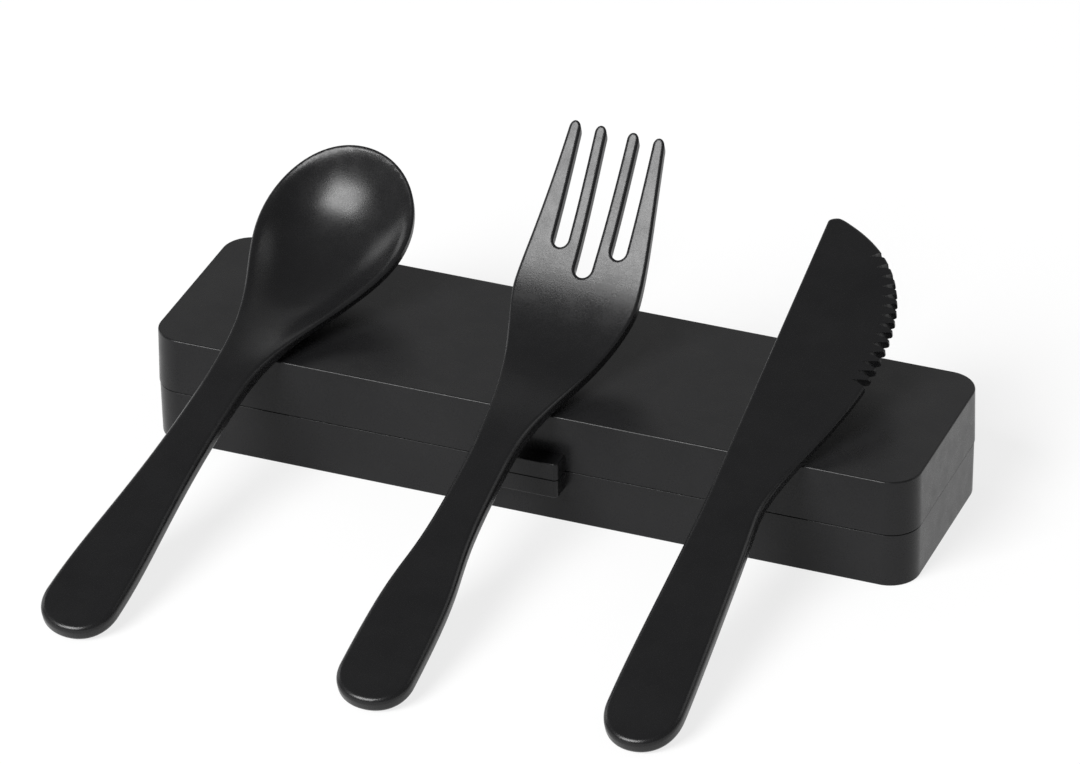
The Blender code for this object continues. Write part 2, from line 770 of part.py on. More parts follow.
def notch_cutters(knife):
    """Scoops along the cutting side, each a cone whose point lies inboard at the top of the blade."""
    bm = bmesh.new()
    top = HANDLE_THICKNESS - KNIFE_BLADE_DROP
    reach = NOTCH_REACH + NOTCH_OUT
    turn = Matrix.Rotation(math.radians(-90), 4, "Y")
    stretch = Matrix.Diagonal((1.0, NOTCH_WIDTH / NOTCH_HEIGHT, 1.0, 1.0))
    fall = Matrix.Rotation(math.atan2(NOTCH_FALL, reach), 4, "Y")
    for index in range(NOTCH_COUNT):
        y = KNIFE_LENGTH - NOTCH_FROM_TIP - index * NOTCH_PITCH
        edge, before, after = (side_reach(knife, y + step * NOTCH_PITCH) for step in (0, -1, 1))
        made = bmesh.ops.create_cone(bm, cap_ends=True, segments=NOTCH_SIDES,
                                     radius1=NOTCH_HEIGHT / 2, radius2=0.0, depth=reach)
        heading = Matrix.Rotation(-NOTCH_TURN * math.atan2(after - before, 2 * NOTCH_PITCH), 4, "Z")
        point = Matrix.Translation((-reach / 2, 0.0, 0.0))
        place = Matrix.Translation((edge + NOTCH_OUT, y, top - NOTCH_FALL)) @ heading @ fall @ point
        bmesh.ops.transform(bm, matrix=place @ turn @ stretch, verts=made["verts"])
    cutter = add_cutter("notches", bm)
    cutter.matrix_world = knife.matrix_world
    return cutter


def make_knife(material):
    """Knife: flat handle and a thinner blade with a straight spine and a notched belly."""
    bm = outline_blank("knife", knife_anchors())

    def half_width(y):
        return KNIFE_END_WIDTH / 2 if y < KNIFE_NECK_AT else KNIFE_SPINE

    def thickness(y):
        share = ease(y, KNIFE_BEND_AT, KNIFE_THIN_AT)
        return blend(HANDLE_THICKNESS, KNIFE_BLADE_THICKNESS, share)

    def under(x, y):
        drop = KNIFE_BLADE_DROP * ease(y, KNIFE_BEND_AT, KNIFE_THIN_AT)
        return HANDLE_THICKNESS - drop - thickness(y)

    knife = round_rims("knife", bm, KNIFE_RIM, KNIFE_BEND_AT, KNIFE_THIN_AT)
    form(knife, steps(KNIFE_BEND_AT, KNIFE_LENGTH, STATION_STEP)[:-1], [], under, thickness)
    knife.data.materials.append(material)
    probes = underside_probes(KNIFE_LENGTH, half_width, under)
    lean(knife, KNIFE_END_DEPTH, probes, KNIFE_X, KNIFE_Y, KNIFE_HEADING)
    combine(knife, notch_cutters(knife), "DIFFERENCE")
    shade(knife, math.radians(40))
    return knife


def main():
    clear_scene()
    hinge = make_hinge()
    make_base(plastic("case_black", CASE_GREY, CASE_ROUGHNESS))
    lid = make_lid(plastic("lid_black", CASE_GREY, CASE_ROUGHNESS))
    spoon = make_spoon(plastic("spoon_black", CUTLERY_GREY, CUTLERY_ROUGHNESS))
    fork = make_fork(plastic("fork_black", CUTLERY_GREY, CUTLERY_ROUGHNESS))
    knife = make_knife(plastic("knife_black", CUTLERY_GREY, CUTLERY_ROUGHNESS))
    for piece in (lid, spoon, fork, knife):
        hang(piece, hinge)
        for modifier in piece.modifiers:
            hang(modifier.object, hinge)


main()
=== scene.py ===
"""Travel cutlery set, dressed for rendering: a hinged case with a spoon, a fork and a knife.

Metres, +Z up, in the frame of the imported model. X runs along the case and -Y is its front.
Each of the five mouldings is made again with finer rims and curves, where its plain solid is.
"""

import math

import bmesh
import bpy
from mathutils import Matrix, Vector


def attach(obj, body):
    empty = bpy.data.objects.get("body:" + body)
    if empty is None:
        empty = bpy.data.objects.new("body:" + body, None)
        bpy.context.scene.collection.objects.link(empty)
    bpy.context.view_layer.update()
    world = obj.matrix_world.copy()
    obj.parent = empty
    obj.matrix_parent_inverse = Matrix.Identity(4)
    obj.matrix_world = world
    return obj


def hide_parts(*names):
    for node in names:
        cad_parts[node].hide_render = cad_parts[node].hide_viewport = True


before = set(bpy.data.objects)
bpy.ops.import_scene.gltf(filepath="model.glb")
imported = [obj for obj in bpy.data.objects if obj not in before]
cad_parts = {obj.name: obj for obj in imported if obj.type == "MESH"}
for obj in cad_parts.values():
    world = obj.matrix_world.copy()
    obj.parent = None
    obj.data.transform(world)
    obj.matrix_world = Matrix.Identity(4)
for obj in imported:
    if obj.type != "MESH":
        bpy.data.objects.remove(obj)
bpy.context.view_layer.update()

# Case
CASE_LENGTH = 0.195
CASE_DEPTH = 0.0529
BASE_HEIGHT = 0.0143
LID_HEIGHT = 0.0146
CORNER_RADIUS = 0.0077
BASE_WALL = 0.0020
LID_WALL = 0.0020
FLOOR = 0.0018
ROOF = 0.0018
DRAFT = 0.00015
BASE_INSET = 0.00015
EDGE_ROUND = 0.0004
SEAM_ROUND = 0.0001
FIT = 0.0003
LIP_HEIGHT = 0.0014
LIP_WALL = 0.0009

# Snap tab
TAB_LENGTH = 0.0212
TAB_OUT = 0.0050
TAB_ABOVE = 0.0046
TAB_BELOW = 0.0048
TAB_CORNER = 0.0012
TAB_ROUND = 0.0003

# Hinge
HINGE_SPACING = 0.110
HINGE_RADIUS = 0.0028
CLIP_LENGTH = 0.009
EAR_LENGTH = 0.003
PIN_RADIUS = 0.0012
CLIP_SNAP = 0.0005
OPEN_ANGLE = math.radians(95)

# Cutlery, shared
HANDLE_THICKNESS = 0.0043
HANDLE_RIM = 0.0015
END_FULLNESS = 0.60

# Spoon
SPOON_LENGTH = 0.1558
SPOON_END_WIDTH = 0.0190
SPOON_END_DEPTH = 0.0098
SPOON_END_PULL = 0.0187
SPOON_NECK_WIDTH = 0.0109
SPOON_NECK_AT = 0.0768
SPOON_NECK_BACK = 0.0322
SPOON_NECK_FORE = 0.0312
SPOON_BOWL_WIDTH = 0.0394
SPOON_BOWL_AT = 0.1352
SPOON_BOWL_BACK = 0.0155
SPOON_BOWL_FORE = 0.0120
SPOON_TIP_PULL = 0.0112
SPOON_BEND_AT = 0.080
SPOON_THIN_AT = 0.105
SPOON_DIP_AT = 0.115
SPOON_DIP = 0.00475
SPOON_TIP_RISE = 0.0042
SPOON_TIP_SLOPE = 0.50
SPOON_THICKNESS = 0.0022
SPOON_RIM = 0.0008
BOWL_DEPTH = 0.0060
BOWL_RIM = 0.0016
BOWL_LIP_SOFTNESS = 0.04
BOWL_FLATNESS = 1.3
BOWL_NECK_POWER = 0.53
SPOON_X = -0.0794
SPOON_Y = -0.1132
SPOON_HEADING = math.radians(6.8)

# Fork
FORK_LENGTH = 0.1640
FORK_END_WIDTH = 0.0186
FORK_END_DEPTH = 0.0093
FORK_END_PULL = 0.0400
FORK_NECK_WIDTH = 0.0106
FORK_NECK_AT = 0.0745
FORK_NECK_BACK = 0.0400
FORK_NECK_FORE = 0.0260
FORK_HEAD_WIDTH = 0.0320
FORK_HEAD_AT = 0.1300
FORK_HEAD_BACK = 0.0090
FORK_HEAD_FORE = 0.0063
FORK_SIDE_PULL = 0.0180
OUTER_TINE_AT = 0.0109
INNER_TINE_AT = 0.0042
TINE_TIP_RADIUS = 0.0015
OUTER_SLOT_WIDTH = 0.0038
OUTER_SLOT_LENGTH = 0.0252
CENTRE_SLOT_WIDTH = 0.0043
CENTRE_SLOT_LENGTH = 0.0306
SLOT_PULL = 0.0040
FORK_BEND_AT = 0.080
FORK_THIN_AT = 0.100
FORK_DIP_AT = 0.112
FORK_DIP = 0.0049
FORK_TIP_RISE = 0.0211
FORK_TIP_SLOPE = 0.76
FORK_THICKNESS = 0.0032
FORK_RIM = 0.0009
FORK_X = -0.0033
FORK_Y = -0.1163
FORK_HEADING = math.radians(2.3)

# Knife
KNIFE_LENGTH = 0.1641
KNIFE_END_WIDTH = 0.0187
KNIFE_END_DEPTH = 0.0110
KNIFE_END_PULL = 0.0075
KNIFE_NECK_AT = 0.0691
KNIFE_NECK = 0.0070
KNIFE_NECK_BACK = 0.0149
KNIFE_NECK_FORE = 0.0155
KNIFE_NECK_TURN = -0.07
KNIFE_BELLY = 0.0193
KNIFE_BELLY_AT = 0.1274
KNIFE_BELLY_BACK = 0.0253
KNIFE_BELLY_FORE = 0.0198
KNIFE_SPINE = 0.0071
KNIFE_SPINE_AT = 0.078
KNIFE_SPINE_PULL = 0.020
KNIFE_TIP_AT = 0.0047
KNIFE_TIP_RADIUS = 0.0015
KNIFE_NOSE_WIDTH = 0.0038
KNIFE_NOSE_PULL = 0.0120
KNIFE_BEND_AT = 0.066
KNIFE_THIN_AT = 0.100
KNIFE_BLADE_THICKNESS = 0.0023
KNIFE_BLADE_DROP = 0.0009
KNIFE_RIM = 0.0009
NOTCH_COUNT = 14
NOTCH_PITCH = 0.0031
NOTCH_FROM_TIP = 0.0081
NOTCH_REACH = 0.0044
NOTCH_OUT = 0.0006
NOTCH_WIDTH = 0.0030
NOTCH_HEIGHT = 0.0070
NOTCH_FALL = 0.0012
NOTCH_TURN = 0.6
KNIFE_X = 0.0600
KNIFE_Y = -0.1105
KNIFE_HEADING = math.radians(-0.29)

# Mesh fineness
SPAN_POINTS = 24
CORNER_SEGMENTS = 24
EDGE_SEGMENTS = 4
RIM_SEGMENTS = 6
ROUND_SIDES = 64
NOTCH_SIDES = 24
STATION_STEP = 0.0012
LANE_STEP = 0.0010
PROBE_STEP = 0.0005

# Camera
CAMERA_PLACE = (0.56479, -1.40962, 0.95669)
CAMERA_AZIMUTH = math.radians(22.05)
CAMERA_ELEVATION = math.radians(31.62)
CAMERA_ROLL = math.radians(0.79)
CAMERA_LENS = 247.5
SENSOR_WIDTH = 36.0

# Surfaces and stage
CASE_SHARP_ANGLE = math.radians(35)
CUTLERY_SHARP_ANGLE = math.radians(40)
SPECKLE = 0.04
GRAIN_HEIGHT = 0.00005
FLOOR_RADIUS = 8.0
FLOOR_GREY = 0.93
FLOOR_WHITE = 0.78
LAMP_DISTANCE = 5.0

# Range of tilts in which the cutlery's lean is looked for, and the number of halvings
LEAN_LOW = math.radians(5)
LEAN_HIGH = math.radians(45)
LEAN_HALVINGS = 30

# Derived places
PARTING = BASE_HEIGHT
CASE_HEIGHT = BASE_HEIGHT + LID_HEIGHT
CASE_FRONT = -CASE_DEPTH / 2
CASE_BACK = CASE_DEPTH / 2
AXIS_Y = CASE_BACK + HINGE_RADIUS + FIT
AXIS_Z = PARTING
BORE_RADIUS = PIN_RADIUS + FIT
CLIP_MOUTH = 2 * PIN_RADIUS - CLIP_SNAP
OUTER_SLOT_AT = (OUTER_TINE_AT + INNER_TINE_AT) / 2
RIM = min(HANDLE_RIM, 0.4 * HANDLE_THICKNESS)
SMALL = 1e-6
CIRCLE = 0.5523


# Mesh helpers


def new_object(name, bm):
    """Turn a bmesh into an object of the scene."""
    mesh = bpy.data.meshes.new(name)
    bm.to_mesh(mesh)
    bm.free()
    obj = bpy.data.objects.new(name, mesh)
    bpy.context.scene.collection.objects.link(obj)
    return obj


def settle(obj):
    """Apply a piece's modifiers to its mesh."""
    bpy.context.view_layer.update()
    evaluated = obj.evaluated_get(bpy.context.evaluated_depsgraph_get())
    mesh = bpy.data.meshes.new_from_object(evaluated)
    obj.modifiers.clear()
    obj.data = mesh


def combine(obj, other, operation):
    """Join another solid to a piece, or cut it out, and drop the other solid."""
    modifier = obj.modifiers.new(operation.lower(), "BOOLEAN")
    modifier.operation = operation
    modifier.object = other
    modifier.solver = "EXACT"
    settle(obj)
    bpy.data.objects.remove(other, do_unlink=True)


def shade(obj, angle):
    """Smooth shading that keeps edges sharper than the angle, with flat faces left flat."""
    obj.data.shade_smooth()
    obj.data.set_sharp_from_angle(angle=angle)
    weighted = obj.modifiers.new("even_shading", "WEIGHTED_NORMAL")
    weighted.keep_sharp = True
    weighted.weight = 80


def box_bmesh(low, high, corner=0.0):
    """A box between two corners, with its upright edges rounded."""
    bm = bmesh.new()
    bmesh.ops.create_cube(bm, size=1.0)
    size = Vector(high) - Vector(low)
    middle = (Vector(high) + Vector(low)) / 2
    bmesh.ops.scale(bm, vec=size, verts=bm.verts)
    bmesh.ops.translate(bm, vec=middle, verts=bm.verts)
    if corner > 0:
        upright = [e for e in bm.edges if (e.verts[0].co - e.verts[1].co).xy.length < SMALL]
        bmesh.ops.bevel(bm, geom=upright, offset=corner, segments=CORNER_SEGMENTS,
                        profile=0.5, affect="EDGES", material=-1)
    return bm


def taper(bm, height, inset):
    """Draw the outline in by the inset at one height."""
    ring = [v for v in bm.verts if abs(v.co.z - height) < SMALL]
    half_x = max(v.co.x for v in ring)
    half_y = max(v.co.y for v in ring)
    for v in ring:
        v.co.x *= (half_x - inset) / half_x
        v.co.y *= (half_y - inset) / half_y


def round_edges(bm, height, radius):
    """Round the edges of a box that lie at one height."""
    level = [e for e in bm.edges if all(abs(v.co.z - height) < SMALL for v in e.verts)]
    bmesh.ops.bevel(bm, geom=level, offset=radius, segments=EDGE_SEGMENTS,
                    profile=0.5, affect="EDGES", material=-1)


# The two halves of the case


def case_outline(inset, low, high):
    """A block with the outline of the case, drawn in by the inset, between two heights."""
    half_x = CASE_LENGTH / 2 - inset
    half_y = CASE_DEPTH / 2 - inset
    return box_bmesh((-half_x, -half_y, low), (half_x, half_y, high), CORNER_RADIUS - inset)


def case_shell(name, inset, low, high, closed_at, seam_at):
    """One half of the case as a block, drafted and rounded towards its closed side."""
    bm = case_outline(inset, low, high)
    taper(bm, closed_at, DRAFT)
    round_edges(bm, closed_at, EDGE_ROUND)
    round_edges(bm, seam_at, SEAM_ROUND)
    return new_object(name, bm)


def case_block(inset, low, high):
    """A solid with the outline of the case, drawn in by the inset."""
    return new_object("case_block", case_outline(inset, low, high))


def cylinder_x(radius, x_low, x_high):
    """A cylinder along X on the hinge axis."""
    bm = bmesh.new()
    bmesh.ops.create_cone(bm, cap_ends=True, segments=ROUND_SIDES, radius1=radius, radius2=radius,
                          depth=x_high - x_low)
    turn = Matrix.Rotation(math.radians(90), 4, "Y")
    place = Matrix.Translation(((x_low + x_high) / 2, AXIS_Y, AXIS_Z))
    bmesh.ops.transform(bm, matrix=place @ turn, verts=bm.verts)
    return new_object("cylinder", bm)


def block(low, high):
    """A plain block between two corners."""
    return new_object("block", box_bmesh(low, high))


def hinge_stations():
    """The middles of the two hinges along X."""
    return (-HINGE_SPACING / 2, HINGE_SPACING / 2)


def tab_block(low, high, rounded_at):
    """One half of the snap tab, sunk a little into the wall behind it."""
    half = TAB_LENGTH / 2
    root = CASE_FRONT + BASE_WALL / 2
    bm = box_bmesh((-half, CASE_FRONT - TAB_OUT, low), (half, root + TAB_CORNER, high), TAB_CORNER)
    round_edges(bm, rounded_at, TAB_ROUND)
    return new_object("tab", bm)


def add_clip(base, x):
    """The round clip and the web that joins it to the back wall."""
    low = x - CLIP_LENGTH / 2
    high = x + CLIP_LENGTH / 2
    combine(base, cylinder_x(HINGE_RADIUS, low, high), "UNION")
    web = block((low, CASE_BACK - BASE_WALL / 2, AXIS_Z - HINGE_RADIUS),
                (high, AXIS_Y, AXIS_Z - FIT / 2))
    combine(base, web, "UNION")


def cut_clip(base, x):
    """The bore of a clip, and the mouth that lets the pin snap in from the back."""
    low = x - CLIP_LENGTH
    high = x + CLIP_LENGTH
    combine(base, cylinder_x(BORE_RADIUS, low, high), "DIFFERENCE")
    mouth = block((low, AXIS_Y, AXIS_Z - CLIP_MOUTH / 2),
                  (high, AXIS_Y + 2 * HINGE_RADIUS, AXIS_Z + CLIP_MOUTH / 2))
    combine(base, mouth, "DIFFERENCE")


def make_base(material):
    """Lower half of the case: shell, lip, snap tab and hinge clips."""
    seam = PARTING - FIT / 2
    base = case_shell("base_moulding", BASE_INSET, 0.0, seam, 0.0, seam)
    combine(base, case_block(LID_WALL - LIP_WALL, PARTING - BASE_WALL, PARTING + LIP_HEIGHT), "UNION")
    combine(base, tab_block(PARTING - TAB_BELOW, seam, PARTING - TAB_BELOW), "UNION")
    for x in hinge_stations():
        add_clip(base, x)
    combine(base, case_block(BASE_WALL, FLOOR, PARTING + 2 * LIP_HEIGHT), "DIFFERENCE")
    for x in hinge_stations():
        cut_clip(base, x)
    base.data.materials.append(material)
    shade(base, CASE_SHARP_ANGLE)
    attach(base, "base")
    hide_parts("case_base")


def heel_block(x_low, x_high):
    """The square heel of an ear, which meets the back of the base when the lid is open."""
    bm = box_bmesh((x_low, -HINGE_RADIUS, -HINGE_RADIUS), (x_high, 0.0, 0.0))
    turn = Matrix.Rotation(OPEN_ANGLE, 4, "X")
    place = Matrix.Translation((0.0, AXIS_Y, AXIS_Z))
    bmesh.ops.transform(bm, matrix=place @ turn, verts=bm.verts)
    return new_object("heel", bm)


def add_ears(lid, x):
    """Two ears and the pin between them, at one hinge."""
    inner = CLIP_LENGTH / 2 + FIT
    outer = inner + EAR_LENGTH
    for low, high in ((x - outer, x - inner), (x + inner, x + outer)):
        web = block((low, CASE_BACK - LID_WALL / 2, AXIS_Z + FIT / 2),
                    (high, AXIS_Y, AXIS_Z + HINGE_RADIUS))
        combine(lid, cylinder_x(HINGE_RADIUS, low, high), "UNION")
        combine(lid, web, "UNION")
        combine(lid, heel_block(low, high), "UNION")
    reach = inner + EAR_LENGTH / 2
    combine(lid, cylinder_x(PIN_RADIUS, x - reach, x + reach), "UNION")


def make_lid(material):
    """Upper half of the case: shell, rebate, snap tab, hinge ears, heels and pins."""
    seam = PARTING + FIT / 2
    lid = case_shell("lid_moulding", 0.0, seam, CASE_HEIGHT, CASE_HEIGHT, seam)
    combine(lid, tab_block(seam, PARTING + TAB_ABOVE, PARTING + TAB_ABOVE), "UNION")
    for x in hinge_stations():
        add_ears(lid, x)
    combine(lid, case_block(LID_WALL, PARTING - LIP_HEIGHT, CASE_HEIGHT - ROOF), "DIFFERENCE")
    rebate = case_block(LID_WALL - LIP_WALL - FIT, PARTING - LIP_HEIGHT, PARTING + LIP_HEIGHT + FIT)
    combine(lid, rebate, "DIFFERENCE")
    lid.data.materials.append(material)
    shade(lid, CASE_SHARP_ANGLE)
    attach(lid, "lid")
    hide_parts("case_lid")


# The spoon, the fork and the knife


def ease(value, low, high):
    """Smooth step from 0 at low to 1 at high."""
    t = min(max((value - low) / (high - low), 0.0), 1.0)
    return t * t * (3 - 2 * t)


def blend(start, end, share):
    """The value at a share of the way from start to end."""
    return start + (end - start) * share


def hermite(value, start, end):
    """Cubic between two (place, height, slope) knots."""
    span = end[0] - start[0]
    t = (value - start[0]) / span
    rise = end[1] - start[1]
    return (start[1] + rise * (3 * t * t - 2 * t ** 3)
            + span * start[2] * (t ** 3 - 2 * t * t + t) + span * end[2] * (t ** 3 - t * t))


def handle_end(width, depth, pull):
    """Anchors of the handle end: its middle, then the place on the right where it is widest."""
    half = width / 2
    return [
        (0.0, 0.0, (1, 0), END_FULLNESS * half, END_FULLNESS * half),
        (half, depth, (0, 1), END_FULLNESS * depth, pull),
    ]


def round_tip(x, y, radius):
    """Anchors of a half circle that turns over at the top, from its right to its left side."""
    pull = CIRCLE * radius
    return [
        (x + radius, y - radius, (0, 1), SLOT_PULL, pull),
        (x, y, (-1, 0), pull, pull),
        (x - radius, y - radius, (0, -1), pull, SLOT_PULL),
    ]


def slot_end(x, y, radius):
    """Anchors of a half circle that turns over at the bottom, from its right to its left side."""
    pull = CIRCLE * radius
    return [
        (x + radius, y + radius, (0, -1), SLOT_PULL, pull),
        (x, y, (-1, 0), pull, pull),
        (x - radius, y + radius, (0, 1), pull, SLOT_PULL),
    ]


def mirrored(half):
    """Anchors of a whole outline from those of its right half, from handle end to tip."""
    left = []
    for x, y, tangent, before, after in reversed(half[1:-1]):
        left.append((-x, y, (tangent[0], -tangent[1]), after, before))
    return half + left


def outline_blank(name, anchors):
    """A flat blank of handle thickness, cut to a closed outline of curve anchors."""
    curve = bpy.data.curves.new(name, "CURVE")
    curve.dimensions = "2D"
    curve.fill_mode = "BOTH"
    curve.extrude = HANDLE_THICKNESS / 2
    curve.resolution_u = SPAN_POINTS
    spline = curve.splines.new("BEZIER")
    spline.use_cyclic_u = True
    spline.bezier_points.add(len(anchors) - 1)
    for point, (x, y, tangent, before, after) in zip(spline.bezier_points, anchors):
        along = Vector((tangent[0], tangent[1], 0.0)).normalized()
        point.handle_left_type = "FREE"
        point.handle_right_type = "FREE"
        point.co = (x, y, 0.0)
        point.handle_left = Vector((x, y, 0.0)) - along * before
        point.handle_right = Vector((x, y, 0.0)) + along * after
    guide = bpy.data.objects.new(name + "_outline", curve)
    bpy.context.scene.collection.objects.link(guide)
    bpy.context.view_layer.update()
    evaluated = guide.evaluated_get(bpy.context.evaluated_depsgraph_get())
    bm = bmesh.new()
    bm.from_mesh(bpy.data.meshes.new_from_object(evaluated))
    bpy.data.objects.remove(guide, do_unlink=True)
    bmesh.ops.translate(bm, vec=(0.0, 0.0, HANDLE_THICKNESS / 2), verts=bm.verts)
    bmesh.ops.remove_doubles(bm, verts=bm.verts, dist=SMALL)
    inner = [e for e in bm.edges if len(e.link_faces) == 2
             and all(abs(f.normal.z) > 0.9 for f in e.link_faces)]
    bmesh.ops.dissolve_edges(bm, edges=inner, use_verts=False)
    bmesh.ops.recalc_face_normals(bm, faces=bm.faces)
    return bm


def round_rims(name, bm, head_rim, bend_at, thin_at):
    """Round the top and bottom rims, by a radius that falls from the handle to the head."""
    weight = bm.edges.layers.float.new("bevel_weight_edge")
    for edge in bm.edges:
        caps = sum(abs(face.normal.z) > 0.9 for face in edge.link_faces)
        if caps == 1:
            middle = (edge.verts[0].co.y + edge.verts[1].co.y) / 2
            edge[weight] = blend(RIM, head_rim, ease(middle, bend_at, thin_at)) / RIM
    obj = new_object(name, bm)
    modifier = obj.modifiers.new("rim", "BEVEL")
    modifier.limit_method = "WEIGHT"
    modifier.width = RIM
    modifier.segments = RIM_SEGMENTS
    modifier.use_clamp_overlap = False
    settle(obj)
    return obj


def slice_mesh(bm, places, axis):
    """Cut every face of a mesh at each place along an axis."""
    normal = [0.0, 0.0, 0.0]
    normal[axis] = 1.0
    for place in places:
        point = [0.0, 0.0, 0.0]
        point[axis] = place
        bmesh.ops.bisect_plane(bm, geom=bm.verts[:] + bm.edges[:] + bm.faces[:], dist=SMALL,
                               plane_co=point, plane_no=normal)


def steps(low, high, step):
    """Evenly spaced places from low to high, both included."""
    count = max(1, round((high - low) / step))
    return [low + (high - low) * i / count for i in range(count + 1)]


def form(obj, stations, lanes, under, thickness):
    """Press the flat blank to its underside and thickness, as functions of x and y."""
    bm = bmesh.new()
    bm.from_mesh(obj.data)
    slice_mesh(bm, stations, 1)
    slice_mesh(bm, lanes, 0)
    for v in bm.verts:
        share = v.co.z / HANDLE_THICKNESS
        v.co.z = under(v.co.x, v.co.y) + share * thickness(v.co.y)
    bm.to_mesh(obj.data)
    bm.free()


def lid_clearance(point):
    """Distance from a point to the rounded front top edge and roof of the lid."""
    front = CASE_FRONT + DRAFT
    across = max(front + EDGE_ROUND - point.y, 0.0)
    above = max(point.z - (CASE_HEIGHT - EDGE_ROUND), 0.0)
    if point.y < front + EDGE_ROUND or above > 0:
        return math.hypot(across, above) - EDGE_ROUND
    return -EDGE_ROUND


def underside_probes(length, half_width, under):
    """Points over the underside of a piece."""
    probes = []
    for station in steps(0.0, length, PROBE_STEP):
        for share in (-1.0, -0.5, 0.0, 0.5, 1.0):
            across = share * half_width(station)
            probes.append(Vector((across, station, under(across, station))))
    return probes


def lean(end_depth, probes, x, y, heading):
    """Matrix that tilts a piece until its end is on the table and its underside on the lid."""
    turn = Matrix.Rotation(-heading, 4, "Z") @ Matrix.Translation((0.0, -end_depth, 0.0))
    turned = [turn @ probe for probe in probes]

    def place(tilt):
        """Matrix of the piece at one tilt, with its lowest point on the table at y."""
        tip = Matrix.Rotation(tilt, 4, "X")
        rest = tip @ Vector((0.0, -end_depth + RIM * (1 - math.sin(tilt)),
                             RIM * (1 - math.cos(tilt))))
        return Matrix.Translation((x, y - rest.y, -rest.z)) @ tip

    low = LEAN_LOW
    high = LEAN_HIGH
    for _ in range(LEAN_HALVINGS):
        tilt = (low + high) / 2
        matrix = place(tilt)
        if min(lid_clearance(matrix @ probe) for probe in turned) < FIT:
            low = tilt
        else:
            high = tilt
    return place(high) @ turn


def side_edge(bm):
    """Function for the half width of a symmetric blank at a place along it."""
    edge = sorted((v.co.y, v.co.x) for v in bm.verts if v.co.x > -SMALL and v.co.z < SMALL)

    def half_width(y):
        for (y0, x0), (y1, x1) in zip(edge, edge[1:]):
            if y0 <= y <= y1 and y1 > y0:
                return blend(x0, x1, (y - y0) / (y1 - y0))
        return 0.0

    return half_width


def finish_cutlery(piece, matrix, material, node):
    """Put a piece of cutlery in its place, and let it ride on the lid."""
    piece.data.transform(matrix)
    piece.data.materials.append(material)
    shade(piece, CUTLERY_SHARP_ANGLE)
    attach(piece, "lid")
    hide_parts(node)


def spoon_anchors():
    """Right half of the spoon's outline, from handle end to tip."""
    neck = SPOON_NECK_WIDTH / 2
    bowl = SPOON_BOWL_WIDTH / 2
    return handle_end(SPOON_END_WIDTH, SPOON_END_DEPTH, SPOON_END_PULL) + [
        (neck, SPOON_NECK_AT, (0, 1), SPOON_NECK_BACK, SPOON_NECK_FORE),
        (bowl, SPOON_BOWL_AT, (0, 1), SPOON_BOWL_BACK, SPOON_BOWL_FORE),
        (0.0, SPOON_LENGTH, (-1, 0), SPOON_TIP_PULL, SPOON_TIP_PULL),
    ]


def make_spoon(material):
    """Spoon: flat handle, dipped neck and an egg-shaped bowl inside a soft lip."""
    bm = outline_blank("spoon_moulding", mirrored(spoon_anchors()))
    half_width = side_edge(bm)
    widest = SPOON_BOWL_WIDTH / 2 - BOWL_RIM
    reach = SPOON_LENGTH - SPOON_BOWL_AT
    inner_reach = reach - BOWL_RIM

    def thickness(y):
        return blend(HANDLE_THICKNESS, SPOON_THICKNESS, ease(y, SPOON_BEND_AT, SPOON_THIN_AT))

    def top(y):
        if y < SPOON_DIP_AT:
            return -SPOON_DIP * ease(y, SPOON_BEND_AT, SPOON_DIP_AT)
        return hermite(y, (SPOON_DIP_AT, -SPOON_DIP, 0.0),
                       (SPOON_LENGTH, SPOON_TIP_RISE, SPOON_TIP_SLOPE))

    def bowl(x, y):
        past = (y - SPOON_BOWL_AT) / inner_reach
        deepen = 1.0
        if y < SPOON_BOWL_AT:
            inner = max(half_width(y) - BOWL_RIM, SMALL)
            level = (inner / widest) ** 2
            deepen = level ** (BOWL_NECK_POWER - 1)
        elif past < 1:
            level = (half_width(SPOON_BOWL_AT + past * reach) / (SPOON_BOWL_WIDTH / 2)) ** 2
        else:
            level = 2 * (1 - past)
        level -= (x / widest) ** 2
        soft = deepen * (level + math.hypot(level, BOWL_LIP_SOFTNESS)) / 2
        full = 1 - max(1 - soft, 0.0) ** BOWL_FLATNESS
        return BOWL_DEPTH * ease(y, SPOON_BEND_AT, SPOON_DIP_AT) * full

    def under(x, y):
        return HANDLE_THICKNESS + top(y) - thickness(y) - bowl(x, y)

    spoon = round_rims("spoon_moulding", bm, SPOON_RIM, SPOON_BEND_AT, SPOON_THIN_AT)
    lanes = steps(-SPOON_BOWL_WIDTH / 2, SPOON_BOWL_WIDTH / 2, LANE_STEP)[1:-1]
    form(spoon, steps(SPOON_BEND_AT, SPOON_LENGTH, STATION_STEP)[:-1], lanes, under, thickness)
    probes = underside_probes(SPOON_LENGTH, half_width, under)
    matrix = lean(SPOON_END_DEPTH, probes, SPOON_X, SPOON_Y, SPOON_HEADING)
    finish_cutlery(spoon, matrix, material, "spoon")


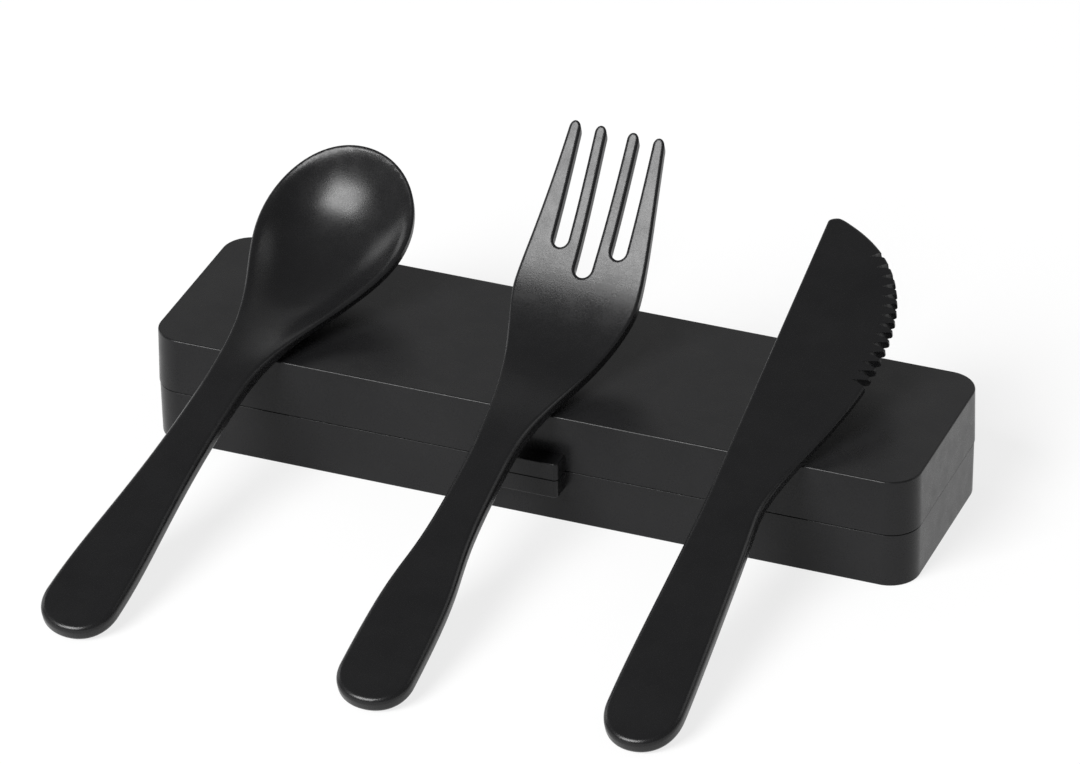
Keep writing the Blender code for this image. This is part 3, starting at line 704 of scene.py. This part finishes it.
def fork_anchors():
    """Right half of the fork's outline, from handle end to the end of the centre slot."""
    neck = FORK_NECK_WIDTH / 2
    head = FORK_HEAD_WIDTH / 2
    outer = round_tip(OUTER_TINE_AT, FORK_LENGTH, TINE_TIP_RADIUS)
    side_x, side_y = outer[0][:2]
    along = (side_x - head, side_y - FORK_HEAD_AT)
    outer[0] = (side_x, side_y, along, FORK_SIDE_PULL, CIRCLE * TINE_TIP_RADIUS)
    slot = slot_end(OUTER_SLOT_AT, FORK_LENGTH - OUTER_SLOT_LENGTH, OUTER_SLOT_WIDTH / 2)
    inner = round_tip(INNER_TINE_AT, FORK_LENGTH, TINE_TIP_RADIUS)
    centre = slot_end(0.0, FORK_LENGTH - CENTRE_SLOT_LENGTH, CENTRE_SLOT_WIDTH / 2)
    return handle_end(FORK_END_WIDTH, FORK_END_DEPTH, FORK_END_PULL) + [
        (neck, FORK_NECK_AT, (0, 1), FORK_NECK_BACK, FORK_NECK_FORE),
        (head, FORK_HEAD_AT, (0, 1), FORK_HEAD_BACK, FORK_HEAD_FORE),
    ] + outer + slot + inner + centre[:2]


def make_fork(material):
    """Fork: flat handle, dipped neck and a head that sweeps up to four tines."""
    bm = outline_blank("fork_moulding", mirrored(fork_anchors()))

    def half_width(y):
        if y < FORK_NECK_AT:
            return FORK_END_WIDTH / 2
        share = ease(y, FORK_NECK_AT, FORK_HEAD_AT)
        return blend(FORK_NECK_WIDTH, FORK_HEAD_WIDTH, share) / 2

    def thickness(y):
        return blend(HANDLE_THICKNESS, FORK_THICKNESS, ease(y, FORK_BEND_AT, FORK_THIN_AT))

    def top(y):
        if y < FORK_DIP_AT:
            return -FORK_DIP * ease(y, FORK_BEND_AT, FORK_DIP_AT)
        return hermite(y, (FORK_DIP_AT, -FORK_DIP, 0.0),
                       (FORK_LENGTH, FORK_TIP_RISE, FORK_TIP_SLOPE))

    def under(x, y):
        return HANDLE_THICKNESS + top(y) - thickness(y)

    fork = round_rims("fork_moulding", bm, FORK_RIM, FORK_BEND_AT, FORK_THIN_AT)
    form(fork, steps(FORK_BEND_AT, FORK_LENGTH, STATION_STEP)[:-1], [], under, thickness)
    probes = underside_probes(FORK_LENGTH, half_width, under)
    matrix = lean(FORK_END_DEPTH, probes, FORK_X, FORK_Y, FORK_HEADING)
    finish_cutlery(fork, matrix, material, "fork")


def knife_anchors():
    """The knife's whole outline: handle end, cutting side, tip and spine."""
    start, right = handle_end(KNIFE_END_WIDTH, KNIFE_END_DEPTH, KNIFE_END_PULL)
    left = (-right[0], right[1], (0, -1), KNIFE_SPINE_PULL, right[3])
    corner = KNIFE_TIP_RADIUS
    nose = (KNIFE_NOSE_WIDTH - KNIFE_TIP_AT, KNIFE_LENGTH - corner)
    pull = CIRCLE * corner
    return [
        start,
        right,
        (KNIFE_NECK, KNIFE_NECK_AT, (KNIFE_NECK_TURN, 1), KNIFE_NECK_BACK, KNIFE_NECK_FORE),
        (KNIFE_BELLY, KNIFE_BELLY_AT, (0, 1), KNIFE_BELLY_BACK, KNIFE_BELLY_FORE),
        (*nose, (-2, 1), KNIFE_NOSE_PULL, corner),
        (-KNIFE_TIP_AT, KNIFE_LENGTH, (-1, 0), pull, pull),
        (-KNIFE_SPINE, KNIFE_LENGTH - corner, (0, -1), pull, KNIFE_SPINE_PULL),
        (-KNIFE_SPINE, KNIFE_SPINE_AT, (0, -1), KNIFE_SPINE_PULL, KNIFE_SPINE_PULL),
        left,
    ]


def side_reach(knife, y):
    """How far the cutting side stands out at a place along the knife."""
    return max(v.co.x for v in knife.data.vertices if abs(v.co.y - y) < 2 * STATION_STEP)


def notch_cutters(knife):
    """Scoops along the cutting side, each a cone whose point lies inboard at the top of the blade."""
    bm = bmesh.new()
    top = HANDLE_THICKNESS - KNIFE_BLADE_DROP
    reach = NOTCH_REACH + NOTCH_OUT
    turn = Matrix.Rotation(math.radians(-90), 4, "Y")
    stretch = Matrix.Diagonal((1.0, NOTCH_WIDTH / NOTCH_HEIGHT, 1.0, 1.0))
    fall = Matrix.Rotation(math.atan2(NOTCH_FALL, reach), 4, "Y")
    for index in range(NOTCH_COUNT):
        y = KNIFE_LENGTH - NOTCH_FROM_TIP - index * NOTCH_PITCH
        edge, before, after = (side_reach(knife, y + step * NOTCH_PITCH) for step in (0, -1, 1))
        made = bmesh.ops.create_cone(bm, cap_ends=True, segments=NOTCH_SIDES,
                                     radius1=NOTCH_HEIGHT / 2, radius2=0.0, depth=reach)
        heading = Matrix.Rotation(-NOTCH_TURN * math.atan2(after - before, 2 * NOTCH_PITCH), 4, "Z")
        point = Matrix.Translation((-reach / 2, 0.0, 0.0))
        place = Matrix.Translation((edge + NOTCH_OUT, y, top - NOTCH_FALL)) @ heading @ fall @ point
        bmesh.ops.transform(bm, matrix=place @ turn @ stretch, verts=made["verts"])
    return new_object("notches", bm)


def make_knife(material):
    """Knife: flat handle and a thinner blade with a straight spine and a notched belly."""
    bm = outline_blank("knife_moulding", knife_anchors())

    def half_width(y):
        return KNIFE_END_WIDTH / 2 if y < KNIFE_NECK_AT else KNIFE_SPINE

    def thickness(y):
        share = ease(y, KNIFE_BEND_AT, KNIFE_THIN_AT)
        return blend(HANDLE_THICKNESS, KNIFE_BLADE_THICKNESS, share)

    def under(x, y):
        drop = KNIFE_BLADE_DROP * ease(y, KNIFE_BEND_AT, KNIFE_THIN_AT)
        return HANDLE_THICKNESS - drop - thickness(y)

    knife = round_rims("knife_moulding", bm, KNIFE_RIM, KNIFE_BEND_AT, KNIFE_THIN_AT)
    form(knife, steps(KNIFE_BEND_AT, KNIFE_LENGTH, STATION_STEP)[:-1], [], under, thickness)
    combine(knife, notch_cutters(knife), "DIFFERENCE")
    probes = underside_probes(KNIFE_LENGTH, half_width, under)
    matrix = lean(KNIFE_END_DEPTH, probes, KNIFE_X, KNIFE_Y, KNIFE_HEADING)
    finish_cutlery(knife, matrix, material, "knife")


# Materials


def noise_node(tree, coordinates, scale, detail):
    """A noise texture on the piece's own coordinates."""
    noise = tree.nodes.new("ShaderNodeTexNoise")
    noise.inputs["Scale"].default_value = scale
    noise.inputs["Detail"].default_value = detail
    tree.links.new(coordinates.outputs["Object"], noise.inputs["Vector"])
    return noise


def range_node(tree, source, low, high):
    """Bring the middle of a noise to a range of values."""
    spread = tree.nodes.new("ShaderNodeMapRange")
    spread.inputs["From Min"].default_value = 0.3
    spread.inputs["From Max"].default_value = 0.7
    spread.inputs["To Min"].default_value = low
    spread.inputs["To Max"].default_value = high
    tree.links.new(source.outputs["Fac"], spread.inputs["Value"])
    return spread


def satin_plastic(name, dark, light, smooth, rough, grain, gloss):
    """Black moulded plastic: faint clouding, uneven sheen and a fine grain."""
    material = bpy.data.materials.new(name)
    material.use_nodes = True
    tree = material.node_tree
    shader = tree.nodes["Principled BSDF"]
    coordinates = tree.nodes.new("ShaderNodeTexCoord")

    clouding = noise_node(tree, coordinates, 60.0, 4.0)
    mix = tree.nodes.new("ShaderNodeMix")
    mix.data_type = "RGBA"
    mix.inputs["A"].default_value = (*dark, 1.0)
    mix.inputs["B"].default_value = (*light, 1.0)
    tree.links.new(range_node(tree, clouding, 0.0, 1.0).outputs["Result"], mix.inputs["Factor"])
    tree.links.new(mix.outputs["Result"], shader.inputs["Base Color"])

    fine = noise_node(tree, coordinates, 2600.0, 2.0)
    sheen = noise_node(tree, coordinates, 220.0, 3.0)
    uneven = tree.nodes.new("ShaderNodeMath")
    uneven.operation = "ADD"
    tree.links.new(range_node(tree, sheen, smooth, rough).outputs["Result"], uneven.inputs[0])
    tree.links.new(range_node(tree, fine, -SPECKLE, SPECKLE).outputs["Result"], uneven.inputs[1])
    tree.links.new(uneven.outputs[0], shader.inputs["Roughness"])

    bump = tree.nodes.new("ShaderNodeBump")
    bump.inputs["Strength"].default_value = grain
    bump.inputs["Distance"].default_value = GRAIN_HEIGHT
    tree.links.new(fine.outputs["Fac"], bump.inputs["Height"])
    tree.links.new(bump.outputs["Normal"], shader.inputs["Normal"])
    shader.inputs["Specular IOR Level"].default_value = gloss
    return material


def floor_material():
    """White floor. The eye and reflections see it part plain white and part lit, so shadows stay soft."""
    material = bpy.data.materials.new("floor_white")
    material.use_nodes = True
    tree = material.node_tree
    shader = tree.nodes["Principled BSDF"]
    shader.inputs["Roughness"].default_value = 0.9
    shader.inputs["Specular IOR Level"].default_value = 0.0
    shader.inputs["Emission Color"].default_value = (1.0, 1.0, 1.0, 1.0)
    path = tree.nodes.new("ShaderNodeLightPath")
    seen = path.outputs["Is Camera Ray"]
    for ray in ("Is Glossy Ray", "Is Transmission Ray"):
        either = tree.nodes.new("ShaderNodeMath")
        either.operation = "MAXIMUM"
        tree.links.new(seen, either.inputs[0])
        tree.links.new(path.outputs[ray], either.inputs[1])
        seen = either.outputs[0]
    glow = tree.nodes.new("ShaderNodeMath")
    glow.operation = "MULTIPLY"
    glow.inputs[1].default_value = FLOOR_WHITE
    tree.links.new(seen, glow.inputs[0])
    tree.links.new(glow.outputs[0], shader.inputs["Emission Strength"])
    lit = tree.nodes.new("ShaderNodeMix")
    lit.data_type = "RGBA"
    share = FLOOR_GREY * (1 - FLOOR_WHITE)
    lit.inputs["A"].default_value = (FLOOR_GREY, FLOOR_GREY, FLOOR_GREY, 1.0)
    lit.inputs["B"].default_value = (share, share, share, 1.0)
    tree.links.new(seen, lit.inputs["Factor"])
    tree.links.new(lit.outputs["Result"], shader.inputs["Base Color"])
    return material


# Floor, room, lamps and camera


def make_floor():
    """A wide white disc under the case."""
    bm = bmesh.new()
    bmesh.ops.create_circle(bm, cap_ends=True, radius=FLOOR_RADIUS, segments=96)
    floor = new_object("floor", bm)
    floor.data.materials.append(floor_material())


def make_world():
    """A room that is white at the horizon and dim above it."""
    world = bpy.data.worlds.new("room")
    bpy.context.scene.world = world
    world.use_nodes = True
    tree = world.node_tree
    background = tree.nodes["Background"]
    coordinates = tree.nodes.new("ShaderNodeTexCoord")
    split = tree.nodes.new("ShaderNodeSeparateXYZ")
    tree.links.new(coordinates.outputs["Generated"], split.inputs["Vector"])
    ramp = tree.nodes.new("ShaderNodeValToRGB")
    ramp.color_ramp.interpolation = "EASE"
    stops = ramp.color_ramp.elements
    stops[0].position = 0.02
    stops[0].color = (1.0, 1.0, 1.0, 1.0)
    stops[1].position = 1.0
    stops[1].color = (0.18, 0.18, 0.18, 1.0)
    middle = stops.new(0.14)
    middle.color = (0.22, 0.22, 0.22, 1.0)
    tree.links.new(split.outputs["Z"], ramp.inputs["Fac"])
    tree.links.new(ramp.outputs["Color"], background.inputs["Color"])
    background.inputs["Strength"].default_value = 1.0


def add_softbox(name, azimuth, elevation, width, height, level):
    """A soft box that faces the case. Azimuth 0 is in front of the case and 90 to its right."""
    light = bpy.data.lights.new(name, "AREA")
    light.shape = "RECTANGLE"
    light.size = width
    light.size_y = height
    light.energy = level * math.pi * width * height
    lamp = bpy.data.objects.new(name, light)
    a = math.radians(azimuth)
    e = math.radians(elevation)
    source = Vector((math.sin(a) * math.cos(e), -math.cos(a) * math.cos(e), math.sin(e)))
    lamp.location = source * LAMP_DISTANCE
    lamp.rotation_mode = "QUATERNION"
    lamp.rotation_quaternion = source.to_track_quat("Z", "Y")
    lamp.visible_camera = False
    bpy.context.scene.collection.objects.link(lamp)


def make_camera():
    """Camera at the photograph's place and angle."""
    data = bpy.data.cameras.new("camera")
    data.lens = CAMERA_LENS
    data.sensor_width = SENSOR_WIDTH
    data.sensor_fit = "HORIZONTAL"
    data.clip_start = 0.1
    data.clip_end = 20.0
    flat = math.cos(CAMERA_ELEVATION)
    forward = Vector((-math.sin(CAMERA_AZIMUTH) * flat, math.cos(CAMERA_AZIMUTH) * flat,
                      -math.sin(CAMERA_ELEVATION)))
    right = Vector((math.cos(CAMERA_AZIMUTH), math.sin(CAMERA_AZIMUTH), 0.0))
    down = forward.cross(right)
    across = math.cos(CAMERA_ROLL) * right + math.sin(CAMERA_ROLL) * down
    up = math.sin(CAMERA_ROLL) * right - math.cos(CAMERA_ROLL) * down
    turn = Matrix((across, up, -forward)).transposed()
    camera = bpy.data.objects.new("camera", data)
    camera.matrix_world = Matrix.Translation(CAMERA_PLACE) @ turn.to_4x4()
    bpy.context.scene.collection.objects.link(camera)
    bpy.context.scene.camera = camera


def main():
    bpy.context.scene.view_settings.view_transform = "Standard"
    make_camera()
    make_floor()
    make_world()
    add_softbox("front_left_box", -24, 41, 2.5, 2.5, 17.5)
    add_softbox("right_strip", 125, 38, 1.6, 3.0, 1.3)
    add_softbox("left_strip", -105, 22, 1.6, 3.0, 2.0)
    add_softbox("back_wall", 178, 28, 7.0, 3.0, 0.35)
    case_black = satin_plastic("case_black", (0.0075, 0.0075, 0.0080), (0.0100, 0.0100, 0.0105),
                               0.26, 0.33, 0.22, 0.22)
    cutlery_black = satin_plastic("cutlery_black", (0.0070, 0.0070, 0.0075),
                                  (0.0090, 0.0090, 0.0095), 0.24, 0.31, 0.26, 0.30)
    make_base(case_black)
    make_lid(case_black)
    make_spoon(cutlery_black)
    make_fork(cutlery_black)
    make_knife(cutlery_black)


main()
